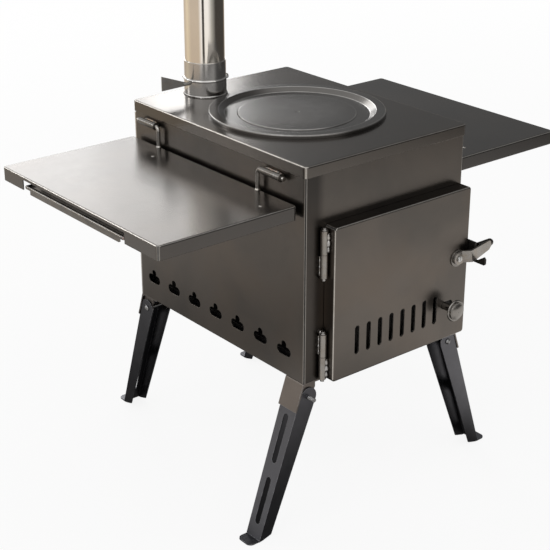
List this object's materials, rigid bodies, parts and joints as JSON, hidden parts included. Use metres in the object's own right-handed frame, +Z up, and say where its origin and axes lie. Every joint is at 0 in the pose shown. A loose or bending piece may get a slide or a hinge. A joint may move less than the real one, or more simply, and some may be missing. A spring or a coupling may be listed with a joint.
{
  "type": "tent wood stove",
  "caption": "Folded sheet steel tent wood stove with hinged door, air slide, lift-off cooking lid, damper flue, fold-up side shelves and folding splayed legs.",
  "frame": {"origin": "on the ground under the middle of the whole stove's bounding box", "axes": "+Z up, -Y the door side, +X the latch side"},
  "size_m": [0.734, 0.5434, 0.955],
  "materials": {
    "gunmetal": "semi-gloss, dark heat-proof coat worn bright on the folds",
    "dark_steel": "dull dark steel",
    "leg_steel": "satin, bluish dark grey",
    "bare_steel": "bare mild steel with weld tint",
    "stainless": "polished stainless",
    "zinc": "bright zinc plate"
  },
  "bodies": {
    "stove": {"body_wrap": "gunmetal", "back_panel": "gunmetal", "bottom_pan": "dark_steel", "top_cover": "gunmetal", "fire_grate": "dark_steel", "body_knuckles": "bare_steel", "hinge_pins": "zinc", "catch_plate": "dark_steel", "shelf_sleeves_left": "bare_steel", "shelf_sleeves_right": "bare_steel", "shelf_stops": "dark_steel", "leg_brackets": "leg_steel", "leg_bolts": "zinc", "leg_nuts": "zinc", "flue_spigot": "gunmetal", "flue_sleeve": "gunmetal"},
    "damper": {"damper_plate": "dark_steel", "damper_spindle": "gunmetal"},
    "chimney": {"chimney_pipe": "stainless"},
    "lid": {"cooking_lid": "gunmetal"},
    "door": {"door_pan": "gunmetal", "door_liner": "dark_steel", "door_knuckles": "bare_steel", "slider_guides": "dark_steel", "latch_washer": "bare_steel", "latch_screw": "zinc", "latch_nut": "zinc"},
    "air_gate": {"air_slider": "dark_steel", "air_knob": "bare_steel", "knob_screw": "zinc"},
    "latch": {"latch_lever": "bare_steel", "latch_bar": "dark_steel"},
    "shelf_l": {"shelf_left": "gunmetal", "shelf_rods_left": "bare_steel", "shelf_handle_left": "bare_steel", "shelf_rivets_left": "bare_steel"},
    "shelf_r": {"shelf_right": "gunmetal", "shelf_rods_right": "bare_steel", "shelf_handle_right": "bare_steel", "shelf_rivets_right": "bare_steel"},
    "foot_fl": {"leg_fl": "leg_steel"},
    "foot_fr": {"leg_fr": "leg_steel"},
    "foot_rl": {"leg_rl": "leg_steel"},
    "foot_rr": {"leg_rr": "leg_steel"}
  },
  "joints": [
    {"name": "door_hinge", "type": "hinge", "parent": "stove", "child": "door", "pos_m": [-0.111, -0.22472, 0.345], "axis": [0, 0, -1], "range_deg": [0, 125]},
    {"name": "latch_turn", "type": "hinge", "parent": "door", "child": "latch", "pos_m": [0.1325, -0.24152, 0.355], "axis": [0, -1, 0], "range_deg": [0, 80]},
    {"name": "air_slide", "type": "slide", "parent": "door", "child": "air_gate", "axis": [1, 0, 0], "range_m": [0, 0.0109]},
    {"name": "damper_turn", "type": "hinge", "parent": "stove", "child": "damper", "pos_m": [-0.035, 0.13978, 0.5675], "axis": [1, 0, 0], "range_deg": [0, 90]},
    {"name": "pipe_lift", "type": "slide", "parent": "stove", "child": "chimney", "axis": [0, 0, 1], "range_m": [0, 0.05]},
    {"name": "lid_lift", "type": "slide", "parent": "stove", "child": "lid", "axis": [0, 0, 1], "range_m": [0, 0.05]},
    {"name": "shelf_l_fold", "type": "hinge", "parent": "stove", "child": "shelf_l", "pos_m": [-0.1465, -0.02022, 0.523], "axis": [0, 1, 0], "range_deg": [0, 118]},
    {"name": "shelf_r_fold", "type": "hinge", "parent": "stove", "child": "shelf_r", "pos_m": [0.1645, -0.02022, 0.523], "axis": [0, -1, 0], "range_deg": [0, 118]},
    {"name": "leg_fl_fold", "type": "hinge", "parent": "stove", "child": "foot_fl", "pos_m": [-0.1295, -0.19922, 0.2065], "axis": [0, -1, 0], "range_deg": [0, 108]},
    {"name": "leg_fr_fold", "type": "hinge", "parent": "stove", "child": "foot_fr", "pos_m": [0.1475, -0.19922, 0.2065], "axis": [0, 1, 0], "range_deg": [0, 78]},
    {"name": "leg_rl_fold", "type": "hinge", "parent": "stove", "child": "foot_rl", "pos_m": [-0.12, 0.16828, 0.2065], "axis": [-1, 0, 0], "range_deg": [0, 108]},
    {"name": "leg_rr_fold", "type": "hinge", "parent": "stove", "child": "foot_rr", "pos_m": [0.138, 0.16828, 0.2065], "axis": [-1, 0, 0], "range_deg": [0, 108]}
  ]
}
